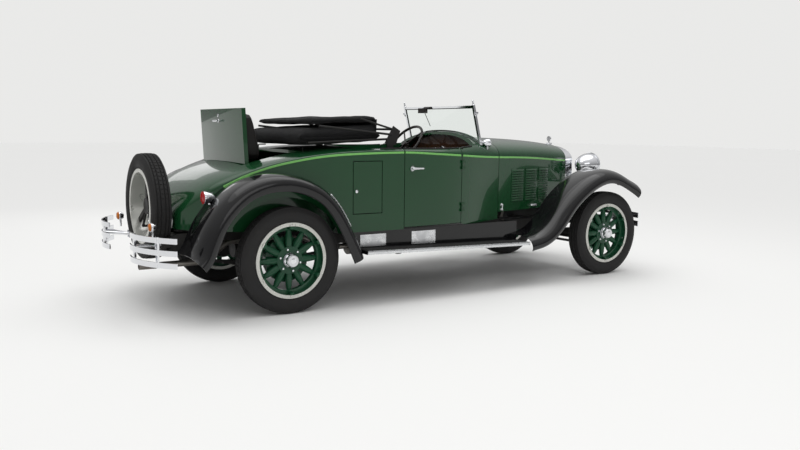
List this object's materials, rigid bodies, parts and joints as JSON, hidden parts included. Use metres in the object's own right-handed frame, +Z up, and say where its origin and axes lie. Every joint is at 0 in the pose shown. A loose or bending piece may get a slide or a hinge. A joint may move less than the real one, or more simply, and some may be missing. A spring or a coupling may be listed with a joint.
{
  "type": "1920s two-seat roadster with rumble seat",
  "caption": "Open two-seat roadster with rumble seat, full fenders, wooden spoked wheels, folded top and rear spare",
  "frame": {"origin": "on the floor under the middle of the overall box", "axes": "+X to the front of the car, +Y to its left, +Z up"},
  "size_m": [4.9498, 1.794, 1.6238],
  "materials": {
    "tyre_rubber": "matt black rubber",
    "wheel_green": "green paint, bright rim",
    "body_green": "dark green gloss paint",
    "fender_black": "black gloss paint",
    "chassis_black": "black chassis paint",
    "chrome": "polished plate",
    "steel": "bare steel",
    "cast": "painted casting",
    "glass": "clear plate glass",
    "leather": "black leather",
    "cloth": "black top cloth",
    "wood": "dark varnished wood",
    "board": "painted boards",
    "plastic": "black enamel"
  },
  "bodies": {
    "road_wheel_front_left": {"tyre_front_left": "tyre_rubber", "wheel_front_left": "wheel_green"},
    "road_wheel_front_right": {"tyre_front_right": "tyre_rubber", "wheel_front_right": "wheel_green"},
    "road_wheel_rear_left": {"tyre_rear_left": "tyre_rubber", "wheel_rear_left": "wheel_green"},
    "road_wheel_rear_right": {"tyre_rear_right": "tyre_rubber", "wheel_rear_right": "wheel_green"},
    "knuckle_left": {"knuckle_left": "cast"},
    "knuckle_right": {"knuckle_right": "cast"},
    "tie_rod": {"tie_rod": "steel"},
    "pitman_arm": {"pitman_arm": "cast"},
    "drag_link": {"drag_link": "steel"},
    "steering_wheel": {"steering_wheel": "wood"},
    "door_left": {"door_left": "body_green"},
    "door_right": {"door_right": "body_green"},
    "locker_door": {"locker_door": "body_green"},
    "rumble_lid": {"rumble_lid": "body_green", "rumble_seat_back": "leather"},
    "car_body": {"spare_tyre": "tyre_rubber", "spare_rim": "steel", "chassis_frame": "chassis_black", "leaf_springs": "chassis_black", "front_axle": "chassis_black", "steering_column": "chassis_black", "rear_axle": "chassis_black", "rear_body": "body_green", "cowl": "body_green", "bonnet": "body_green", "front_fenders": "fender_black", "rear_fenders": "fender_black", "running_boards": "fender_black", "splash_aprons": "fender_black", "floor": "board", "dashboard": "wood", "front_seat_cushion": "leather", "front_seat_back": "leather", "rumble_seat_cushion": "leather", "seat_frames": "board", "windscreen_frame": "chrome", "windscreen_glass": "glass", "wiper_motor": "plastic", "radiator_shell": "chrome", "radiator_core": "cast", "engine": "cast", "exhaust": "steel", "fuel_tank": "chassis_black", "spare_carrier": "chassis_black", "lamps": "chrome", "front_bumper": "chrome", "rear_bumpers": "chrome", "folded_top": "cloth", "top_irons": "chassis_black", "scuff_plates": "chrome"}
  },
  "joints": [
    {"name": "steer_left", "type": "hinge", "parent": "car_body", "child": "knuckle_left", "pos_m": [1.925, 0.595, 0.4], "axis": [0, 0, 1], "range_deg": [-28, 28]},
    {"name": "steer_right", "type": "hinge", "parent": "car_body", "child": "knuckle_right", "pos_m": [1.925, -0.595, 0.4], "axis": [0, 0, 1], "range_deg": [-28, 28]},
    {"name": "tie_rod_end", "type": "hinge", "parent": "knuckle_left", "child": "tie_rod", "pos_m": [1.755, 0.595, 0.3], "axis": [0, 0, 1], "range_deg": [-28, 28]},
    {"name": "pitman_swing", "type": "hinge", "parent": "car_body", "child": "pitman_arm", "pos_m": [1.105, 0.417, 0.5745], "axis": [0, 1, 0], "range_deg": [-50, 50]},
    {"name": "drag_link_end", "type": "hinge", "parent": "pitman_arm", "child": "drag_link", "pos_m": [1.105, 0.43, 0.4645], "axis": [0, 1, 0], "range_deg": [-50, 50]},
    {"name": "steering_wheel_turn", "type": "hinge", "parent": "car_body", "child": "steering_wheel", "pos_m": [0.285, 0.3, 1.232], "axis": [-0.7771, 0, 0.6293], "range_deg": [-338, 338]},
    {"name": "door_left_hinge", "type": "hinge", "parent": "car_body", "child": "door_left", "pos_m": [0.225, 0.6915, 0.9], "axis": [0, 0, 1], "range_deg": [-65, 0]},
    {"name": "door_right_hinge", "type": "hinge", "parent": "car_body", "child": "door_right", "pos_m": [0.225, -0.6915, 0.9], "axis": [0, 0, 1], "range_deg": [0, 65]},
    {"name": "locker_hinge", "type": "hinge", "parent": "car_body", "child": "locker_door", "pos_m": [-0.597, -0.72, 0.9], "axis": [0, 0, 1], "range_deg": [0, 90]},
    {"name": "rumble_lid_hinge", "type": "hinge", "parent": "car_body", "child": "rumble_lid", "pos_m": [-1.638, 0, 1.0915], "axis": [0, 1, 0], "range_deg": [0, 82]},
    {"name": "roll_front_left", "type": "hinge", "parent": "knuckle_left", "child": "road_wheel_front_left", "pos_m": [1.925, 0.72, 0.4], "axis": [0, 1, 0], "continuous": true},
    {"name": "roll_front_right", "type": "hinge", "parent": "knuckle_right", "child": "road_wheel_front_right", "pos_m": [1.925, -0.72, 0.4], "axis": [0, 1, 0], "continuous": true},
    {"name": "roll_rear_left", "type": "hinge", "parent": "car_body", "child": "road_wheel_rear_left", "pos_m": [-1.415, 0.72, 0.4], "axis": [0, 1, 0], "continuous": true},
    {"name": "roll_rear_right", "type": "hinge", "parent": "car_body", "child": "road_wheel_rear_right", "pos_m": [-1.415, -0.72, 0.4], "axis": [0, 1, 0], "continuous": true}
  ],
  "couplings": [
    {"joint": "steer_right", "follows": "steer_left", "ratio": 1},
    {"joint": "tie_rod_end", "follows": "steer_left", "ratio": -1},
    {"joint": "pitman_swing", "follows": "steer_left", "ratio": -1.7},
    {"joint": "drag_link_end", "follows": "steer_left", "ratio": 1.7},
    {"joint": "steering_wheel_turn", "follows": "steer_left", "ratio": 12}
  ]
}
